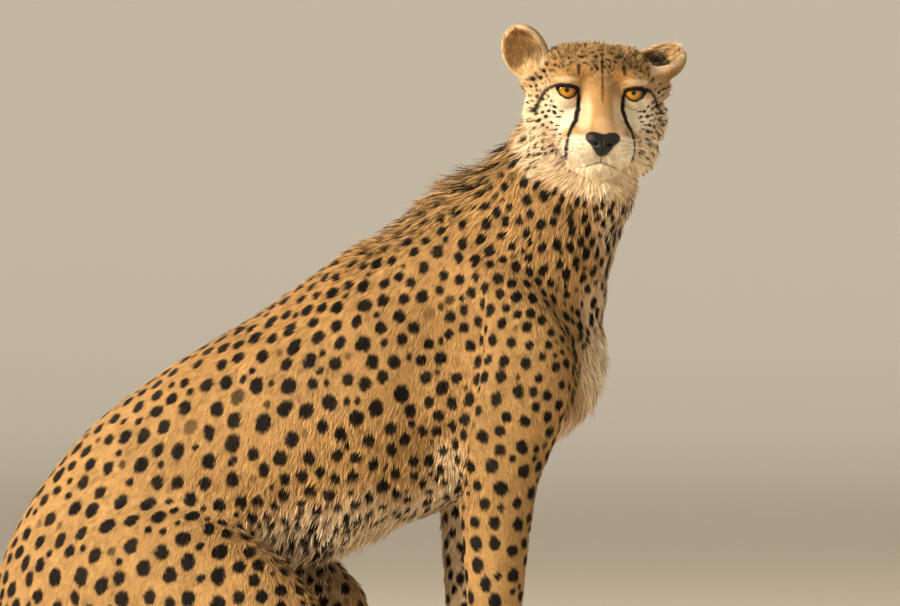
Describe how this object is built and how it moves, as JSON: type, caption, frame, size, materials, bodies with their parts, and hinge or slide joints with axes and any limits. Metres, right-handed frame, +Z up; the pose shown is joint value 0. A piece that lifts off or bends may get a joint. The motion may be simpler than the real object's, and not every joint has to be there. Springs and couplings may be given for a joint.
{
  "type": "cheetah",
  "caption": "Life-size seated cheetah, forelegs straight, head turned to its right, tail curled on the floor behind.",
  "frame": {"origin": "bottom centre of the object's box, on the floor under the body", "axes": "+Z up; the body faces -Y and its left side is +X; the head is turned to its right, towards -X"},
  "size_m": [0.4302, 0.9142, 0.8663],
  "materials": {
    "coat": "short tawny fur with solid black spots, pale below",
    "eye": "wet amber iris with a round pupil",
    "nose": "moist black nose skin",
    "claw": "worn dark horn"
  },
  "bodies": {
    "root": {"head": "coat", "ear_left": "coat", "ear_right": "coat", "neck": "coat", "trunk": "coat", "foreleg_left": "coat", "foreleg_right": "coat", "forepaw_left": "coat", "forepaw_right": "coat", "thigh_left": "coat", "thigh_right": "coat", "shank_left": "coat", "shank_right": "coat", "hindpaw_left": "coat", "hindpaw_right": "coat", "tail_root": "coat", "tail_middle": "coat", "tail_tip": "coat", "eye_left": "eye", "eye_right": "eye", "nose": "nose", "dewclaw_left": "claw", "dewclaw_right": "claw", "forepaw_left_claw_1": "claw", "forepaw_left_claw_2": "claw", "forepaw_left_claw_3": "claw", "forepaw_left_claw_4": "claw", "forepaw_right_claw_1": "claw", "forepaw_right_claw_2": "claw", "forepaw_right_claw_3": "claw", "forepaw_right_claw_4": "claw", "hindpaw_left_claw_1": "claw", "hindpaw_left_claw_2": "claw", "hindpaw_left_claw_3": "claw", "hindpaw_left_claw_4": "claw", "hindpaw_right_claw_1": "claw", "hindpaw_right_claw_2": "claw", "hindpaw_right_claw_3": "claw", "hindpaw_right_claw_4": "claw"}
  },
  "joints": []
}
